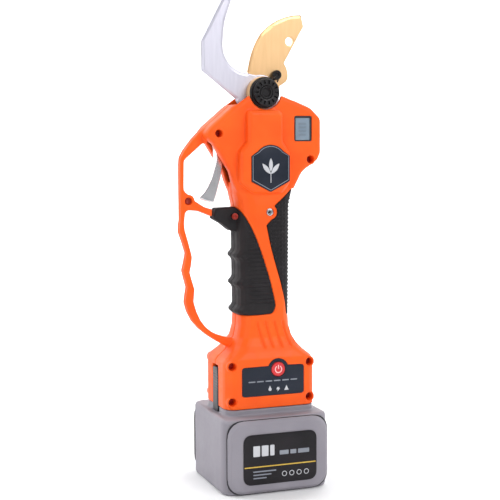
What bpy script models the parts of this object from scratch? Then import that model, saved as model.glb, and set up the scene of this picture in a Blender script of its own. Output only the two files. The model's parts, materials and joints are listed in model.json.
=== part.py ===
"""A battery electric pruner: two-part housing with finger guard, bypass blades driven by a motor, a planetary
stage and a face gear, a trigger, and a slide-on battery pack.

Lengths in this script are millimetres; every object is made in metres. +X is the palm side, -X the trigger and
guard side, -Y the front with the display, +Z runs from the battery up to the blades. The origin is on the flat
bottom of the battery, on the axis of the motor.
"""

from math import atan2, cos, pi, radians, sin, tan

import bmesh
import bpy
from mathutils import Matrix, Vector

MM = 0.001
GAP = 0.3  # between pieces that touch

# Driving dimensions
PIVOT = (0.0, 313.0)  # blade pivot, x and z; its axis is along y
HEAD_DEPTH = 15.0  # half depths, from the middle plane y = 0
BULGE_DEPTH = 22.0
HANDLE_DEPTH = 18.5
BASE_DEPTH = 27.0
BASE_WIDTH = 38.0
GUARD_DEPTH = 4.5
HEAD_WALL = 2.5
GRIP_THICKNESS = 1.8
BATTERY_HEIGHT = 60.0
BATTERY_WIDTH = 44.0
BATTERY_FRONT = -39.0
BATTERY_REAR = 43.0
COVER_THICKNESS = 3.7
SOCKET_FACE = 65.0  # height of the housing's open bottom face

# Blade stack, from the front to the back
NUT_FACE, NUT_BACK = -17.4, -11.6
FRAME_FRONT, FRAME_BACK = -11.8, -7.2
BUSH_FRONT, BUSH_BACK = -11.3, -4.5
HOOK_FRONT, HOOK_BACK = -4.2, -0.2
CUTTER_FRONT, CUTTER_BACK = 0.2, 3.7
GEAR_FRONT, GEAR_FACE, GEAR_BACK = 4.0, 6.9, 11.3
BOLT_RADIUS = 5.0
FRAME_BOTTOM = 271.2
BLADE_SCREWS = ((-14.3, 295.0), (14.3, 295.0))
LOCK_SCREW = (13.6, 327.3)

# Gear train
SECTOR_TEETH, PINION_TEETH = 43, 9
SECTOR_INNER, SECTOR_OUTER = 24.0, 28.4
PINION_PITCH = PINION_TEETH * (SECTOR_INNER + SECTOR_OUTER) / 2 / SECTOR_TEETH
SUN_TEETH, PLANET_TEETH, RING_TEETH = 12, 12, 36
PLANET_MODULE = 0.65
PLANET_LOW, PLANET_HIGH = 257.0, 262.0
PLANET_ORBIT = (SUN_TEETH + PLANET_TEETH) * PLANET_MODULE / 2

# Trigger
TRIGGER_PIVOT = (-34.0, 272.0)
TRIGGER_WIDTH = 4.3  # half of it

# Power button
BUTTON = (5.5, 95.4)
BUTTON_RADIUS = 5.7

# Screws: x, z, front face that the hole is sunk in, depth of the head, hole radius
SCREWS = [
    (-38.6, 281.2, HEAD_DEPTH, 6.5, 3.0),
    (38.3, 260.4, HEAD_DEPTH, 6.5, 3.2),
    (-60.5, 228.6, GUARD_DEPTH, 1.4, 3.0),
    (-24.6, 216.3, HANDLE_DEPTH, 6.5, 3.0),
    (2.3, 219.3, HANDLE_DEPTH, 0.6, 3.3),
    (-32.5, 99.4, BASE_DEPTH, 7.0, 3.2),
    (32.5, 99.4, BASE_DEPTH, 7.0, 3.2),
    (-32.5, 71.2, BASE_DEPTH, 7.0, 3.2),
    (32.5, 71.2, BASE_DEPTH, 7.0, 3.2),
]

# Sections of the base, flare and handle: height, left, right, half depth, corner radius, wall
SECTIONS = [
    (SOCKET_FACE, -BASE_WIDTH, BASE_WIDTH, BASE_DEPTH, 9.0, 2.5),
    (101.0, -BASE_WIDTH, BASE_WIDTH, BASE_DEPTH, 9.0, 2.5),
    (104.5, -35.5, 35.8, 26.8, 9.0, 3.0),
    (109.0, -30.0, 30.5, 24.8, 9.5, 3.5),
    (114.0, -26.0, 26.2, 21.6, 10.0, 4.0),
    (120.0, -22.8, 23.2, 19.5, 11.0, 4.0),
    (128.0, -21.0, 21.2, 18.6, 11.5, 4.0),
    (137.0, -20.7, 20.8, HANDLE_DEPTH, 12.0, 4.0),
    (150.0, -20.8, 21.5, HANDLE_DEPTH, 12.0, 4.0),
    (225.0, -21.8, 21.7, HANDLE_DEPTH, 12.0, 3.4),
    (234.0, -24.0, 23.8, 17.6, 11.0, 3.0),
    (244.0, -25.0, 25.0, 14.6, 9.0, 3.0),
]

PART = bpy.data.collections.new("electric_pruner")
CUTTERS = bpy.data.collections.new("cutters")


def clear_scene():
    """Empties the scene and adds the two collections."""
    for obj in list(bpy.data.objects):
        bpy.data.objects.remove(obj, do_unlink=True)
    for collection in (PART, CUTTERS):
        bpy.context.scene.collection.children.link(collection)


# ---------------------------------------------------------------- outlines


def arc(centre, radius, start, end, steps=8):
    """Points on an arc from one angle to another, in degrees."""
    angles = (radians(start + (end - start) * k / steps) for k in range(steps + 1))
    return [(centre[0] + radius * cos(a), centre[1] + radius * sin(a)) for a in angles]


def circle(centre, radius, sides=32):
    return arc(centre, radius, 0, 360, sides)[:-1]


def rounded(corners, steps=3):
    """The outline through corners (x, z) or (x, z, radius), with each corner rounded by its radius."""
    outline = []
    for index, place in enumerate(corners):
        x, z, radius = (*place, 0)[:3]
        corner = Vector((x, z))
        if not radius:
            outline.append((x, z))
            continue
        back = (Vector(corners[index - 1][:2]) - corner).normalized()
        ahead = (Vector(corners[(index + 1) % len(corners)][:2]) - corner).normalized()
        half = back.angle(ahead) / 2
        centre = corner + (back + ahead).normalized() * radius / sin(half)
        first = corner + back * radius / tan(half) - centre
        last = corner + ahead * radius / tan(half) - centre
        start = atan2(first.y, first.x)
        turn = (atan2(last.y, last.x) - start + pi) % (2 * pi) - pi
        for k in range(steps + 1):
            angle = start + turn * k / steps
            outline.append((centre.x + radius * cos(angle), centre.y + radius * sin(angle)))
    return outline


def rectangle(left, bottom, right, top, radius=0.0, steps=3):
    corners = [(left, bottom), (right, bottom), (right, top), (left, top)]
    return rounded([(x, z, radius) for x, z in corners], steps)


def smooth(points, steps=3):
    """A Catmull-Rom curve through the points."""
    points = [Vector(point) for point in points]
    padded = [2 * points[0] - points[1], *points, 2 * points[-1] - points[-2]]
    line = []
    for a, b, c, d in zip(padded, padded[1:], padded[2:], padded[3:]):
        for k in range(steps):
            t = k / steps
            line.append(
                0.5 * (2 * b + (c - a) * t + (2 * a - 5 * b + 4 * c - d) * t**2 + (3 * b - a - 3 * c + d) * t**3)
            )
    line.append(points[-1])
    return [(point.x, point.y) for point in line]


def gear_outline(centre, teeth, module, first=0.0, internal=False):
    """Straight-flanked teeth, the first one centred at the angle given in degrees."""
    side = -1 if internal else 1
    pitch = teeth * module / 2
    tip, root = pitch + side * 0.8 * module, pitch - side * 1.15 * module
    outline = []
    for tooth in range(teeth):
        middle = first + 360 * tooth / teeth
        for radius, share in ((root, -0.27), (tip, -0.12), (tip, 0.12), (root, 0.27)):
            outline += arc(centre, radius, middle + share * 360 / teeth, 0, 1)[:1]
    return outline


# ---------------------------------------------------------------- solids


def new_object(name, mesh, collection=CUTTERS):
    obj = bpy.data.objects.new(name, mesh)
    collection.objects.link(obj)
    return obj


def mesh_of(obj):
    bpy.context.view_layer.update()
    return bpy.data.meshes.new_from_object(obj.evaluated_get(bpy.context.evaluated_depsgraph_get()))


TURNS = {
    "X": Matrix.Rotation(pi / 2, 4, "Y") @ Matrix.Rotation(pi / 2, 4, "Z"),
    "Y": Matrix.Rotation(pi / 2, 4, "X"),
    "Z": Matrix.Identity(4),
}
# How far along its own +Z a turned solid's world axis runs
SIGNS = {"X": 1, "Y": -1, "Z": 1}


def weld(bm):
    """Joins points that lie together and removes what collapses."""
    bmesh.ops.remove_doubles(bm, verts=bm.verts, dist=0.001 * MM)
    bmesh.ops.dissolve_degenerate(bm, edges=bm.edges, dist=0.001 * MM)


def settle(name, mesh, axis, middle):
    """Welds a mesh drawn in XY, turns its Z to the axis, moves it there and makes its faces point out."""
    bm = bmesh.new()
    bm.from_mesh(mesh)
    weld(bm)
    bmesh.ops.recalc_face_normals(bm, faces=bm.faces)
    bm.transform(Matrix.Translation((0, 0, SIGNS[axis] * middle * MM)))
    bm.transform(TURNS[axis])
    bm.to_mesh(mesh)
    bm.free()
    return new_object(name, mesh)


def plate(name, outlines, low, high, axis="Y", bevel=0.0, inset=0.0, rounds=0):
    """A flat piece from low to high along the axis. The first outline is its edge and the others are holes."""
    curve = bpy.data.curves.new(name, "CURVE")
    curve.dimensions = "2D"
    curve.fill_mode = "BOTH"
    curve.extrude = ((high - low) / 2 - bevel) * MM
    curve.bevel_depth = bevel * MM
    curve.bevel_resolution = rounds
    curve.offset = -(bevel + inset) * MM
    for outline in outlines:
        spline = curve.splines.new("POLY")
        spline.points.add(len(outline) - 1)
        for point, (x, y) in zip(spline.points, outline):
            point.co = (x * MM, y * MM, 0, 1)
        spline.use_cyclic_u = True
    drawing = new_object(name + "_curve", curve)
    mesh = mesh_of(drawing)
    bpy.data.objects.remove(drawing)
    return settle(name, mesh, axis, (low + high) / 2)


def rod(name, centre, radius, low, high, axis="Y", sides=32, end_radius=None):
    """A cylinder or cone. The centre is its place across the axis, in the order x, y, z."""
    bm = bmesh.new()
    last = radius if end_radius is None else end_radius
    ends = (radius, last) if SIGNS[axis] > 0 else (last, radius)
    bmesh.ops.create_cone(
        bm, cap_ends=True, segments=sides, radius1=ends[0] * MM, radius2=ends[1] * MM, depth=(high - low) * MM
    )
    bm.transform(Matrix.Translation((centre[0] * MM, centre[1] * MM, 0)))
    mesh = bpy.data.meshes.new(name)
    bm.to_mesh(mesh)
    bm.free()
    return settle(name, mesh, axis, (low + high) / 2)


def block(name, low, high):
    """A box between two corners."""
    bm = bmesh.new()
    bmesh.ops.create_cube(bm, size=MM)
    sizes = [b - a for a, b in zip(low, high)]
    bm.transform(Matrix.Diagonal((*sizes, 1)))
    bm.transform(Matrix.Translation([(a + b) / 2 * MM for a, b in zip(low, high)]))
    mesh = bpy.data.meshes.new(name)
    bm.to_mesh(mesh)
    bm.free()
    return new_object(name, mesh)


def loft(name, sections):
    """A solid through rounded rectangles (height, left, right, half depth, corner radius)."""
    bm = bmesh.new()
    rings = []
    for height, left, right, depth, radius in sections:
        ring = rectangle(left, -depth, right, depth, radius, 4)
        rings.append([bm.verts.new((x * MM, y * MM, height * MM)) for x, y in ring])
    for lower, upper in zip(rings, rings[1:]):
        for k in range(len(lower)):
            bm.faces.new((lower[k - 1], lower[k], upper[k], upper[k - 1]))
    bm.faces.new(rings[0][::-1])
    bm.faces.new(rings[-1])
    mesh = bpy.data.meshes.new(name)
    bm.to_mesh(mesh)
    bm.free()
    return settle(name, mesh, "Z", 0)


def wire(name, points, radius):
    """A round wire through points in millimetres."""
    curve = bpy.data.curves.new(name, "CURVE")
    curve.dimensions = "3D"
    curve.bevel_depth = radius * MM
    curve.bevel_resolution = 1
    curve.use_fill_caps = True
    spline = curve.splines.new("POLY")
    spline.points.add(len(points) - 1)
    for point, place in zip(spline.points, points):
        point.co = (*(value * MM for value in place), 1)
    drawing = new_object(name + "_curve", curve)
    mesh = mesh_of(drawing)
    bpy.data.objects.remove(drawing)
    return settle(name, mesh, "Z", 0)


def copy_of(obj):
    return new_object(obj.name + "_copy", obj.data.copy())


def combine(target, operation, others):
    """Joins, cuts or keeps what is common, and uses the other solids up."""
    for other in others:
        modifier = target.modifiers.new(operation, "BOOLEAN")
        modifier.operation = operation
        modifier.solver = "EXACT"
        modifier.object = other
    mesh = mesh_of(target)
    target.modifiers.clear()
    target.data = mesh
    bm = bmesh.new()
    bm.from_mesh(mesh)
    weld(bm)
    bm.to_mesh(mesh)
    bm.free()
    for other in others:
        bpy.data.objects.remove(other)
    return target


def join(target, *others):
    return combine(target, "UNION", others)


def cut(target, *others):
    return combine(target, "DIFFERENCE", others)


def keep_inside(target, other):
    return combine(target, "INTERSECT", [other])


def halves(solid):
    """The front and rear halves of a solid, parted at the middle plane."""
    far = 500
    rear = cut(copy_of(solid), block("front_space", (-far, -far, -far), (far, GAP / 2, far)))
    front = cut(solid, block("rear_space", (-far, -GAP / 2, -far), (far, far, far)))
    return front, rear


# ---------------------------------------------------------------- materials and finishing


def material(name, colour, roughness, metallic=0.0):
    shade = bpy.data.materials.new(name)
    shade.use_nodes = True
    shader = shade.node_tree.nodes["Principled BSDF"]
    shader.inputs["Base Color"].default_value = (*colour, 1)
    shader.inputs["Roughness"].default_value = roughness
    shader.inputs["Metallic"].default_value = metallic
    shade.diffuse_color = (*colour, 1)
    return shade


ORANGE = material("orange_plastic", (1.0, 0.115, 0.01), 0.42)
RUBBER = material("black_rubber", (0.02, 0.018, 0.02), 0.8)
GREY = material("grey_plastic", (0.27, 0.26, 0.29), 0.5)
BLACK = material("black_plastic", (0.018, 0.018, 0.022), 0.4)
PANEL = material("panel_film", (0.012, 0.018, 0.032), 0.3)
RED = material("red_button", (0.75, 0.03, 0.03), 0.4)
LENS = material("display_lens", (0.25, 0.33, 0.4), 0.12)
STEEL = material("blade_steel", (0.68, 0.67, 0.75), 0.3, 1.0)
GOLD = material("gold_coated_steel", (0.9, 0.6, 0.3), 0.3, 1.0)
DARK_STEEL = material("black_oxide_steel", (0.045, 0.042, 0.045), 0.45, 0.8)
PLATED = material("zinc_plated_steel", (0.7, 0.7, 0.72), 0.28, 1.0)
ALUMINIUM = material("cast_aluminium", (0.62, 0.62, 0.64), 0.5, 1.0)
BRONZE = material("sintered_bronze", (0.6, 0.38, 0.16), 0.45, 1.0)
BOARD = material("circuit_board", (0.02, 0.18, 0.08), 0.5)
CELL = material("cell_wrap", (0.05, 0.28, 0.5), 0.35)


def finish(obj, name, shade, pivot=None):
    """Names a finished piece, gives it its material, and hangs it on its joint's empty."""
    obj.name = name
    obj.data.name = name
    CUTTERS.objects.unlink(obj)
    PART.objects.link(obj)
    obj.data.materials.clear()
    obj.data.materials.append(shade)
    obj.data.shade_smooth()
    obj.data.set_sharp_from_angle(angle=radians(35))
    if pivot:
        obj.parent = pivot
        obj.matrix_parent_inverse = pivot.matrix_world.inverted()
    return obj


def joint_empty(name, place):
    """An empty on a joint's axis, at a place in millimetres."""
    empty = bpy.data.objects.new(name, None)
    empty.empty_display_size = 0.01
    empty.location = [value * MM for value in place]
    PART.objects.link(empty)
    bpy.context.view_layer.update()
    return empty


# ---------------------------------------------------------------- housing


def head_outline():
    """The head, clockwise from the left of the blade slot."""
    return rounded(
        [
            (-14.0, 311.0, 5),
            (-26.0, 302.6, 12),
            (-45.5, 286.2, 8),
            (-50.5, 280.0, 4),
            (-42.5, 273.0, 4),
            (-28.9, 251.5, 12),
            (-26.5, 243.0, 6),
            (-19.0, 226.0, 0),
            (19.0, 226.0, 0),
            (24.8, 237.0, 8),
            (32.0, 250.8, 14),
            (45.4, 260.0, 5),
            (47.8, 265.5, 4),
            (47.8, 293.0, 6),
            (38.7, 301.6, 14),
            (15.0, 311.0, 5),
        ]
    )


def bulge_outline():
    """The raised gearbox cover on the head."""
    return rounded(
        [
            (-17.0, 299.0, 4),
            (-17.0, 275.0, 4),
            (-23.6, 267.0, 4),
            (-23.6, 243.0, 5),
            (-12.0, 234.0, 6),
            (12.0, 234.0, 6),
            (18.6, 242.0, 5),
            (18.6, 266.0, 4),
            (12.5, 275.0, 4),
            (12.5, 299.0, 4),
        ]
    )


def guard_outer():
    """The outer edge of the finger guard, from the head down to the flare, closed inside the housing."""
    edge = [(-40.0, 290.0), (-52.0, 281.6), (-60.4, 272.0), (-65.4, 264.5), (-66.9, 256.0), (-66.8, 214.0)]
    waves = [(-67.6, 204.0), (-62.2, 187.5), (-65.2, 174.0), (-61.7, 160.5), (-63.5, 148.5), (-57.5, 133.5)]
    foot = [(-45.3, 121.6), (-30.0, 112.0)]
    return smooth(edge, 2) + smooth([edge[-1], *waves, *foot], 2)[1:] + [(-6.0, 112.0), (-6.0, 290.0)]


def trigger_loop():
    """The opening round the trigger."""
    return rounded(
        [
            (-48.5, 273.4, 3),
            (-63.6, 260.4, 4),
            (-64.0, 237.0, 4),
            (-55.5, 229.0, 6),
            (-47.0, 223.6, 10),
            (-36.0, 220.6, 0),
            (-22.0, 220.6, 0),
            (-22.0, 273.4, 0),
        ]
    )


def hand_loop():
    """The opening for the fingers, with its three waves."""
    waves = [(-63.4, 206.0), (-57.6, 184.5), (-59.7, 172.5), (-55.7, 159.0), (-56.6, 149.0), (-51.0, 134.0)]
    foot = [(-42.0, 124.5), (-30.0, 119.5), (-17.0, 117.0)]
    sweep = smooth([(-63.6, 214.0), *waves, *foot], 2)
    return rounded([(-17.0, 206.0), (-36.0, 214.0), (-52.0, 220.6, 8), (-62.6, 221.6, 3), *sweep])


def finger_region():
    """The side of the handle that the finger grips cover."""
    edge = smooth([(-26.0, 228.0), (-19.0, 218.3), (-9.8, 199.3), (0.3, 170.6), (5.2, 151.8)])
    foot = [(6.6, 145.0, 3), (4.6, 138.6, 4), (-32.0, 137.6)]
    return rounded([(-34.0, 229.6), *edge, *foot, (-32.0, 200.0), (-41.0, 204.0), (-41.0, 229.6)])


def palm_region():
    """The side of the handle that the palm grips cover, notched round the middle screw."""
    notch = arc((2.3, 219.3), 6.3, 50, -75, 5)
    edge = smooth([(-0.4, 209.0), (3.9, 189.5), (10.5, 166.8), (15.6, 148.0), (17.4, 137.0)])
    return [(34.0, 238.5), (22.0, 237.0), *notch, *edge, (34.0, 137.0)]


def lofts(inset):
    """The handle, shrunk on all sides."""
    return [
        (z, left + inset, right - inset, depth - inset, radius - inset)
        for z, left, right, depth, radius, _ in SECTIONS
    ]


def outer_body():
    body = loft("outer_body", lofts(0))
    return join(
        body,
        plate("head", [head_outline()], -HEAD_DEPTH, HEAD_DEPTH, bevel=3.5, rounds=1),
        plate("bulge", [bulge_outline()], -BULGE_DEPTH, BULGE_DEPTH, bevel=2.5),
        plate("guard", [guard_outer(), trigger_loop(), hand_loop()], -GUARD_DEPTH, GUARD_DEPTH, bevel=1.2),
        rod("guard_boss", SCREWS[2][:2], 5.2, -GUARD_DEPTH - 0.2, GUARD_DEPTH + 0.2, sides=20),
    )


def hollow():
    """The space inside the housing."""
    inner = [
        (z, left + wall, right - wall, depth - wall, max(radius - wall, 2))
        for z, left, right, depth, radius, wall in SECTIONS
    ]
    inner[0] = (SOCKET_FACE - 5, *inner[0][1:])
    space = loft("hollow", inner)
    wall = HEAD_WALL
    return join(
        space,
        plate("head_space", [head_outline()], -HEAD_DEPTH + wall, HEAD_DEPTH - wall, inset=wall),
        plate("bulge_space", [bulge_outline()], -BULGE_DEPTH + wall, BULGE_DEPTH - wall, inset=wall + 0.2),
    )


def screw_posts():
    """Solid columns between the two shells round each deep screw."""
    return [
        rod("post", (x, z), 4.6, 1.2 - depth, depth - 1.2, sides=12)
        for x, z, depth, _, _ in SCREWS
        if depth > GUARD_DEPTH
    ]


def trigger_posts():
    x, z = TRIGGER_PIVOT
    return [rod("pin_post", (x, z), 4.2, *span, sides=16) for span in ((-13.5, -9.6), (9.6, 13.5))]


def screw_holes():
    holes = []
    for x, z, depth, sink, radius in SCREWS:
        seat = -depth + sink + 1.8
        holes.append(rod("head_hole", (x, z), radius, -depth - 5, seat, sides=16))
        holes.append(rod("thread_hole", (x, z), 1.7, seat - 1, min(seat + 13, depth - 1.5), sides=8))
    return holes


def housing_openings():
    """Everything that is cut from both shells."""
    openings = [
        block("blade_slot", (-24, -12.2, 296), (24, 12.2, 340)),
        rod("nut_scallop", PIVOT, 13.3, -40, -10),
        rod("bolt_scallop", PIVOT, 9.6, 10, 40),
        block("trigger_slot", (-45, -5.4, 226), (-24, 5.4, TRIGGER_PIVOT[1] + 5.5)),
        rod("pin_bore", TRIGGER_PIVOT, 2.3, -12.4, 12.4, sides=16),
        plate("display_opening", [rectangle(24.5, 274.8, 39.2, 294.8, 0.8)], -20, -12),
        plate("badge_recess", [badge_outline(GAP)], -30, -BULGE_DEPTH + 1.0),
        plate("panel_recess", [panel_outline(GAP)], -40, -BASE_DEPTH + 1.1),
        rod("button_hole", BUTTON, BUTTON_RADIUS + 0.4, -40, -20),
    ]
    for side in (-1, 1):
        low, high = sorted((side * 33, side * 45))
        openings.append(block("latch_slot", (low, -7.0, 60), (high, 7.0, 97.5)))
    return openings


def make_shells():
    body = cut(outer_body(), hollow())
    join(body, *screw_posts(), *trigger_posts())
    for region in (finger_region(), palm_region()):
        recess = cut(
            plate("recess", [region], -60, 60, inset=-GAP),
            loft("core", lofts(GRIP_THICKNESS + GAP)),
        )
        cut(body, recess)
    cut(body, *screw_holes(), *housing_openings())
    front, rear = halves(body)
    finish(front, "front_shell", ORANGE)
    finish(rear, "rear_shell", ORANGE)


def knuckle_ridge(height):
    """How far the finger grip stands out between two fingers."""
    return 3.5 * max(0.0, cos(2 * pi * (height - 185) / 22)) ** 3


def grip_sections():
    """The handle's sections through the grips, with ridges between the fingers."""
    sections = []
    for step in range(52):
        height = 136 + 2 * step
        share = (height - 137) / (225 - 137)
        ridge = knuckle_ridge(height) if height < 196 else 0
        left = -20.7 - 1.1 * share if height < 226 else -21.8 - 0.24 * (height - 225)
        right = 20.8 + 0.9 * min(1, share) + max(0, height - 225) * 0.23
        sections.append((height, left - ridge, right, HANDLE_DEPTH, 12.0))
    return sections


def make_grips():
    """Two rubber grips on each shell."""
    core = loft("core", lofts(GRIP_THICKNESS))
    sleeve = rounded(
        [(-40.9, 214.6, 2), (-38.4, 222.8, 2), (-15, 223.5), (-15, 203), (-26, 204.5, 3), (-33.3, 210.4, 3)]
    )
    for name, region in (("finger", finger_region()), ("palm", palm_region())):
        grip = loft(name, grip_sections())
        if name == "finger":
            join(grip, plate("sleeve", [sleeve], -6.2, 6.2, bevel=1.2))
        keep_inside(grip, plate("region", [region], -60, 60))
        cut(grip, copy_of(core), *(hole for hole in screw_holes() if name == "finger"))
        if name == "finger":
            cut(grip, block("trigger_slot", (-45, -5.4, 226), (-24, 5.4, 240)))
        front, rear = halves(grip)
        finish(front, f"{name}_grip_front", RUBBER)
        finish(rear, f"{name}_grip_rear", RUBBER)
    bpy.data.objects.remove(core)
    for obj in [obj for obj in CUTTERS.objects]:
        bpy.data.objects.remove(obj)


def make_housing_screws():
    for number, (x, z, depth, sink, radius) in enumerate(SCREWS, 1):
        top = -depth + sink
        bright = sink < 1 and depth == HANDLE_DEPTH
        head = rod("screw", (x, z), radius - 0.5, top, top + 1.5, sides=16)
        length = min(12.0, 2 * depth - sink - 3.6)
        join(head, rod("shank", (x, z), 1.3, top + 1.0, top + length, sides=8))
        for turn in (0, 1):
            span = (1.9, 0.45) if turn else (0.45, 1.9)
            corner = (x - span[0], top - 1, z - span[1])
            cut(head, block("driver", corner, (x + span[0], top + 0.8, z + span[1])))
        finish(head, f"housing_screw_{number}", PLATED if bright else DARK_STEEL)


# ---------------------------------------------------------------- display, badge and panel


def badge_outline(extra=0.0):
    """A shield with a domed top and a pointed foot."""
    wide = 16.0 + extra
    left, right = 1.5 - wide, 1.5 + wide
    dome = arc((1.5, 258.5), 13.6 + extra, 140, 40, 8)
    shoulder, waist, foot = 263.5, 243.8 - extra, 235.4 - 1.3 * extra
    return [(left, shoulder), (left, waist), (1.5, foot), (right, waist), (right, shoulder), *dome[::-1]]


def panel_outline(extra=0.0):
    """A wide panel with an arch over the power button."""
    arch = arc(BUTTON, 8.6 + extra, 20, 160, 8)
    left, right, bottom, top = -24.9 - extra, 27.4 + extra, 74.8 - extra, 98.0 + extra
    return rounded([(left, bottom, 2.5), (right, bottom, 2.5), (right, top, 2.5), *arch, (left, top, 2.5)])


def make_front_pieces():
    finish(
        plate("window", [rectangle(24.8, 275.1, 38.9, 294.5, 0.8)], -14.2, -13.1),
        "display_window",
        LENS,
    )
    finish(block("display", (24.7, -12.0, 273.2), (40.5, -8.0, 295.8)), "display_module", BLACK)
    finish(
        plate("badge", [badge_outline()], -BULGE_DEPTH - 0.1, -BULGE_DEPTH + 0.7, bevel=0.25),
        "badge_plate",
        PANEL,
    )
    panel = plate("panel", [panel_outline()], -BASE_DEPTH + 0.2, -BASE_DEPTH + 0.8)
    cut(panel, rod("button_hole", BUTTON, BUTTON_RADIUS + 0.4, -40, -20))
    finish(panel, "control_panel", PANEL)
    finish(block("board", (-16, -21.8, 78), (20, -20.3, 104)), "button_board", BOARD)


def make_power_button():
    x, z = BUTTON
    pivot = joint_empty("power_button_joint", (x, -BASE_DEPTH, z))
    button = rod("button", BUTTON, BUTTON_RADIUS, -BASE_DEPTH - 0.6, -BASE_DEPTH + 3.6)
    join(button, rod("flange", BUTTON, BUTTON_RADIUS + 1.2, -BASE_DEPTH + 2.8 + GAP, -BASE_DEPTH + 4.0))
    finish(button, "power_button", RED, pivot)


# ---------------------------------------------------------------- blades and pivot


def hook_outline():
    """The fixed hook blade, with the eye round the pivot and the tang that is screwed to the gear head."""
    back = [(-21.6, 395.8), (-26.2, 395.2), (-31.6, 385.0), (-48.6, 352.9), (-48.6, 330.0), (-20.8, 308.3)]
    tang = [(-18.0, 303.0), (-18.0, 292.0), (18.0, 292.0), (18.0, 302.0)]
    eye = arc(PIVOT, 14.4, -8, 106, 8)
    throat = [(-12.0, 328.4), (-17.1, 329.6), (-23.1, 333.0), (-27.4, 337.7), (-30.4, 344.0)]
    tip = [(-31.1, 351.1), (-29.6, 367.0), (-24.1, 384.2), back[0]]
    return back + tang + eye + smooth(throat + tip)[:-1]


def cutter_outline():
    """The moving blade: a convex edge, a back with a lobe for the lock screw, and a round eye."""
    edge = smooth([(-9.5, 329.8), (-5.7, 345.0), (1.5, 359.1), (12.7, 368.6), (25.7, 373.9), (35.8, 375.1)])
    back = [(37.2, 371.1), (38.3, 365.9), (34.6, 359.8), (21.6, 336.9)]
    lobe = smooth([(23.8, 333.3), (25.0, 327.3), (23.5, 322.4), (17.8, 318.7)])
    eye = arc(PIVOT, 17.0, 5, -240, 18)
    return edge + back + lobe + eye


def make_fixed_blade():
    hook = plate("hook", [hook_outline()], HOOK_FRONT, HOOK_BACK, bevel=0.3)
    cut(hook, rod("bush_hole", PIVOT, 6.8, -10, 10))
    for place in BLADE_SCREWS:
        cut(hook, rod("hole", place, 1.8, -10, 10, sides=16))
    finish(hook, "fixed_blade", STEEL)


def make_gear_head():
    """The casting that holds the fixed blade's tang and the bearing of the output shaft."""
    frame = plate("frame", [rectangle(-18.2, FRAME_BOTTOM, 18.2, 299.5, 2)], FRAME_FRONT, FRAME_BACK)
    join(
        frame,
        plate("pad", [rectangle(-16.6, 292, 16.6, 298.2)], FRAME_BACK - 1, HOOK_FRONT - GAP),
        block("shelf", (-14, FRAME_FRONT + 0.4, FRAME_BOTTOM + 0.2), (14, 11.0, 282.0)),
    )
    cut(frame, rod("bearing_bore", (0, 0), 6.9, 260, 283, axis="Z"))
    for place in BLADE_SCREWS:
        cut(
            frame,
            rod("hole", place, 1.8, -20, 0, sides=16),
            rod("countersink", place, 3.2, -20, FRAME_FRONT + 2.2, sides=24),
        )
    finish(frame, "gear_head", ALUMINIUM)
    for number, place in enumerate(BLADE_SCREWS, 1):
        screw = rod("screw", place, 3.0, FRAME_FRONT + 0.2, FRAME_FRONT + 1.9, sides=20)
        join(screw, rod("shank", place, 1.45, FRAME_FRONT + 1.5, HOOK_BACK - 0.5, sides=12))
        cut(screw, rod("socket", place, 1.4, -20, FRAME_FRONT + 1.2, sides=6))
        finish(screw, f"blade_screw_{number}", DARK_STEEL)
    bearing = rod("bearing", (0, 0), 6.6, FRAME_BOTTOM + GAP, 282.6, axis="Z")
    finish(cut(bearing, rod("bore", (0, 0), 4.3, 260, 300, axis="Z")), "shaft_bearing", BRONZE)


def make_pivot_bush():
    """The flanged bush that carries the bolt through the fixed blade."""
    bush = rod("bush", PIVOT, 12.6, BUSH_FRONT, BUSH_BACK, sides=40)
    join(bush, rod("sleeve", PIVOT, 6.5, BUSH_BACK - 1, HOOK_BACK))
    finish(cut(bush, rod("bore", PIVOT, BOLT_RADIUS + GAP, -20, 20)), "pivot_bush", GOLD)


def make_moving_blade(pivot):
    blade = plate("cutter", [cutter_outline()], CUTTER_FRONT, CUTTER_BACK, bevel=0.3)
    cut(
        blade,
        rod("bolt_hole", PIVOT, BOLT_RADIUS + GAP, -10, 10),
        rod("hang_hole", (26.2, 354.1), 3.5, -10, 10, sides=24),
        rod("lock_hole", LOCK_SCREW, 1.9, -10, 10, sides=16),
    )
    finish(blade, "moving_blade", GOLD, pivot)


def make_sector_gear(pivot):
    """The toothed quadrant behind the blade. Its face teeth point forward to the pinion."""
    step = 360 / SECTOR_TEETH
    least, most = 0, 6
    rim = arc(PIVOT, SECTOR_OUTER + 0.6, -90 - (most + 1) * step, -90 + (least + 1) * step, 14)
    hub = arc(PIVOT, 12.0, -90 + (least + 1) * step, 270 - (most + 1) * step, 22)
    gear = plate("sector", [rim + hub], GEAR_FACE, GEAR_BACK)
    teeth = []
    for tooth in range(-most, least + 1):
        middle = -90 + (tooth + 0.5) * step
        half = 0.18 * step
        outline = arc(PIVOT, SECTOR_INNER, middle - half, middle + half, 1)
        outline += arc(PIVOT, SECTOR_OUTER, middle + half, middle - half, 1)
        teeth.append(plate("tooth", [outline], GEAR_FACE - 2.2, GEAR_FACE + 1))
    join(gear, rod("hub", PIVOT, 11.4, GEAR_FRONT, GEAR_FACE + 1, sides=40), *teeth)
    cut(gear, rod("bore", PIVOT, BOLT_RADIUS + GAP, -30, 30))
    finish(gear, "sector_gear", DARK_STEEL, pivot)


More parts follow.
